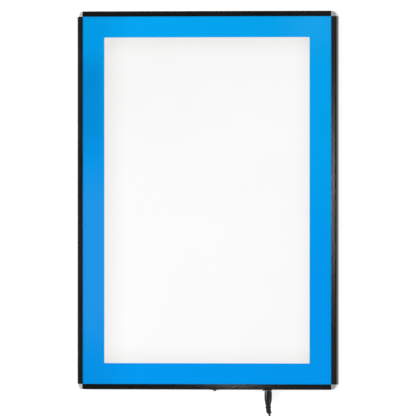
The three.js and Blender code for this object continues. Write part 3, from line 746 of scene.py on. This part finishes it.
def corner_head():
    """A quarter-round post with a crowned top and soft edges; its straight sides meet the rails' ends."""
    outline = [(0, 0), (RADIUS, 0), (RADIUS, HEIGHT - RIM_DROP), (SHOULDER, HEIGHT - SHOULDER_DROP),
               (0, HEIGHT)]
    steps = 24
    angles = [math.pi + k / steps * math.pi / 2 for k in range(steps + 1)]
    vertices, rows = turned(eased(outline, SOFT_EDGE, 7), angles, (RADIUS, RADIUS))
    sides = [[row[0] for row in rows][::-1], [row[-1] for row in rows]]
    return vertices, skin(rows, steps) + sides


def corner_piece(name, corner, quarter):
    """A corner with its head at the frame's outer corner, turned by quarters, and a leg into each rail."""
    place = Matrix.Translation((*corner, RAIL_LOW)) @ Matrix.Rotation(quarter * math.pi / 2, 4, "Z")
    head = thing(f"{name}_cast", corner_head(), place)
    root, tip, screw = RADIUS - LEG_ROOT, RADIUS + LEG_REACH, RADIUS + SCREW_INSET
    boolean(head, [thing("leg", box((root, LEG_NEAR, LEG_LOW), (tip, LEG_FAR, LEG_HIGH)), place),
                   thing("leg", box((LEG_NEAR, root, LEG_LOW), (LEG_FAR, tip, LEG_HIGH)), place)], "UNION")
    boolean(head, [thing("cutter", lathe(SCREW_HOLE, 32), place @ Matrix.Translation((x, y, 0)))
                   for x, y in ((screw, SCREW_LINE), (SCREW_LINE, screw))])
    return piece(smoothed(head, 32), "panel", "corner_silver", silver, name)


for name, x_side, y_side, quarter in [("corner_bottom_left", 0, 0, 0), ("corner_bottom_right", 1, 0, 1),
                                      ("corner_top_right", 1, 1, 2), ("corner_top_left", 0, 1, 3)]:
    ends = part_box(name)
    corner_piece(name, (ends[x_side].x / MM, ends[y_side].y / MM), quarter)

THREAD_ROOT, THREAD_CREST, THREAD_PITCH, THREAD_FROM = 0.86, 1.0, 0.45, 1.2
ARM_LONG, ARM_WIDE, ARM_DEEP, ARM_TAPER = 1.15, 0.28, 0.95, 0.55
SCREW_TURN = math.radians(20)


def screw_shape():
    """A countersunk screw from below: its head's face at z = 0 and its thread upwards."""
    thread = []
    for k in range(9):
        z = THREAD_FROM + k * THREAD_PITCH
        thread += [(THREAD_ROOT, z), (THREAD_CREST, z + 0.2)]
    head = [(0, 0), (1.82, 0), (1.9, 0.08), (THREAD_CREST, 0.9)]
    return lathe([*head, *thread, (THREAD_ROOT, 5.2), (0.5, 5.5), (0, 5.5)], 32)


def cross_recess(place):
    """The four-armed recess, narrower at its bottom."""
    arms = []
    for long, wide in ((ARM_LONG, ARM_WIDE), (ARM_WIDE, ARM_LONG)):
        low = [(-long, -wide, -0.5), (long, -wide, -0.5), (long, wide, -0.5), (-long, wide, -0.5)]
        high = [(x * ARM_TAPER, y * ARM_TAPER, ARM_DEEP) for x, y, _ in low]
        arms.append(thing("cutter", stack([low, high]), place))
    return arms


for side in ("left", "bottom", "right", "top"):
    for end in "ab":
        node = f"screw_{side}_{end}"
        at = middle(node) / MM
        face = Matrix.Translation((at.x, at.y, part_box(node)[0].z / MM))
        place = face @ Matrix.Rotation(SCREW_TURN, 4, "Z")
        made = boolean(thing(node + "_turned", screw_shape(), place), cross_recess(place))
        piece(smoothed(made, 30), "panel", "screw_black", screw_black, node)

FOOT_RADIUS = 6.35
for corner in ("bottom_left", "bottom_right", "top_right", "top_left"):
    node = f"foot_{corner}"
    at = middle(node) / MM
    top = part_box(node)[1].z / MM
    profile = eased([(0, 0.25), (2.2, 0.25), (3.2, 0), (FOOT_RADIUS - 1.5, 0), (FOOT_RADIUS - 0.4, 0.75),
                     (FOOT_RADIUS, top - 0.3), (FOOT_RADIUS - 0.25, top), (0, top)], 0.5, 5)
    made = thing(node + "_pad", lathe(profile, 56), Matrix.Translation((at.x, at.y, 0)))
    piece(smoothed(made, 50), "panel", "foot_rubber", rubber, node)

# ---- Wires in the gutter: each lies in shallow waves ----
WIRE_RADIUS, WAVE, WAVE_LONG = 0.6, 0.3, 13
wire_section = [(WIRE_RADIUS * math.cos(TAU * k / 12), WIRE_RADIUS * math.sin(TAU * k / 12))
                for k in range(12)]
for side in ("left", "right"):
    for pole, material, slot, phase in (("positive", wire_red, "wire_red", 0.0),
                                        ("negative", wire_black, "wire_black", 1.7)):
        node = f"wire_{side}_{pole}"
        low, high = box_mm(node)
        y, z = (low.y + high.y) / 2, (low.z + high.z) / 2
        steps = max(12, int((high.x - low.x) / 4))
        frames = []
        for k in range(steps + 1):
            x = low.x + (high.x - low.x) * k / steps
            wave = WAVE * math.sin(phase + x / WAVE_LONG) * math.sin(math.pi * k / steps)
            frames.append((Vector((x, y + wave, z + 0.4 * wave)), Vector((0, 1, 0)), Vector((0, 0, 1))))
        made = thing(node + "_lead", sweep(frames, wire_section))
        piece(smoothed(made, 50), "panel", slot, material, node)

# ---- CAD nodes that stay: each one's finish, and how much its edges are eased ----
KEPT = {
    "rail_left": (rail_y, 0.22), "rail_right": (rail_y, 0.22),
    "rail_top": (shaded_rail_x, 0.22), "rail_bottom": (shaded_rail_x, 0.22),
    "back_plate": (back_grey, 0.15), "reflector_sheet": (reflector, 0.05),
    "light_guide": (guide_acrylic, 0.15), "diffuser_sheet": (diffuser, 0.1),
    "cover_sheet": (opal, 0.2), "border_film": (blue, 0.06),
    "led_strip_left": (led_board, 0.08), "led_strip_right": (led_board, 0.08),
    "jack_housing": (jack_black, 0.25), "jack_pin": (nickel, 0.1), "jack_spring_contact": (nickel, 0.08),
    "switch_housing": (jack_black, 0.15), "switch_button": (plug_black, 0.12),
    "switch_spring": (nickel, 0.03), "switch_terminal_a": (nickel, 0.1), "switch_terminal_b": (nickel, 0.1),
    "adapter_board": (board_green, 0.1), "adapter_transformer": (ferrite, 0.4),
}
for node, (material, edge) in KEPT.items():
    kept = nodes[node]
    for slot in kept.material_slots:
        slot.material = material
    bevelled(kept, edge, round_faces=node.startswith(("rail", "switch")))

# ---- Stage: a pale floor, a sky that is dimmer low down and nearly black overhead, and soft lights ----
FLOOR = 40.0
floor = bpy.data.objects.new("floor", bpy.data.meshes.new("floor"))
floor.data.from_pydata([(-FLOOR, -FLOOR, 0), (FLOOR, -FLOOR, 0), (FLOOR, FLOOR, 0), (-FLOOR, FLOOR, 0)], [],
                       [[0, 1, 2, 3]])
scene.collection.objects.link(floor)
paper = shader_of("floor_paper", {"Base Color": (0.6, 0.6, 0.6, 1), "Roughness": 0.9,
                                  "Specular IOR Level": 0.1, "Emission Color": (1, 1, 1, 1),
                                  "Emission Strength": 0.7})[0]
floor.data.materials.append(paper)

UNDER, HORIZON, SKY, CEILING = 1.2, 0.5, 1.06, 0.03     # the world's brightness, from below to overhead
# Between which sines of a direction's height one turns into the next.
PAST_FLOOR, LOW_SKY, OVERHEAD = (-0.012, -0.002), (0.12, 0.5), (0.82, 0.945)
scene.world = bpy.data.worlds.new("studio")
sky = node_tree(scene.world)
rise = axes_from(sky, "Generated")["Z"]
above = math_node(sky, "MULTIPLY", ramp(sky, rise, HORIZON, SKY, *LOW_SKY),
                  ramp(sky, rise, 1, CEILING, *OVERHEAD))
# Below the horizon it carries on the floor's white, for a view that reaches past the floor.
below = ramp(sky, rise, UNDER, 0, *PAST_FLOOR)
background = sky.nodes.new("ShaderNodeBackground")
sky.links.new(math_node(sky, "MAXIMUM", above, below), background.inputs["Strength"])
sky_output = sky.nodes.new("ShaderNodeOutputWorld")
sky.links.new(background.outputs[0], sky_output.inputs["Surface"])


def area_light(name, location, target, power, size, size_y=None):
    """A light that faces the target: a square of that size, or a rectangle. The camera doesn't see it."""
    data = bpy.data.lights.new(name, "AREA")
    data.energy = power
    data.size = size
    if size_y:
        data.shape, data.size_y = "RECTANGLE", size_y
    light = bpy.data.objects.new(name, data)
    light.location = location
    light.rotation_euler = (Vector(location) - Vector(target)).to_track_quat("Z", "Y").to_euler()
    light.visible_camera = False
    scene.collection.objects.link(light)
    return light


area_light("key", (-2.0, 0.3, 1.6), (0, 0, 0), 50, 1.0)
area_light("fill", (1.8, -1.2, 1.3), (0, 0, 0), 10, 1.2)
# Small cards overhead that face straight down and show only in gloss. Seen from above, the right and bottom
# rails mirror two of them, and the border mirrors the other two. Each shines on just what it is there for.
RAILS = ["rail_left", "rail_right", "rail_top", "rail_bottom"]
FILM = ["border_film"]
for name, place, power, size, lit in [("card_right", (0.013, 0.013, 0.8), 1.56, (0.014, 0.12), RAILS),
                                      ("card_bottom", (-0.064, -0.262, 0.45), 0.08, (0.03, 0.008), RAILS),
                                      ("card_left", (-0.343, -0.078, 0.8), 0.032, (0.05, 0.22), FILM),
                                      ("card_top", (-0.037, 0.24, 0.8), 0.005, (0.05, 0.02), FILM)]:
    card = area_light(name, place, (*place[:2], 0), power, *size)
    card.visible_diffuse = False
    receivers = bpy.data.collections.new(name + "_shines_on")
    for node in lit:
        receivers.objects.link(nodes[node])
    card.light_linking.receiver_collection = receivers

scene.view_settings.view_transform = "Standard"
scene.view_settings.look = "None"
scene.view_settings.exposure = 0
scene.view_settings.gamma = 1
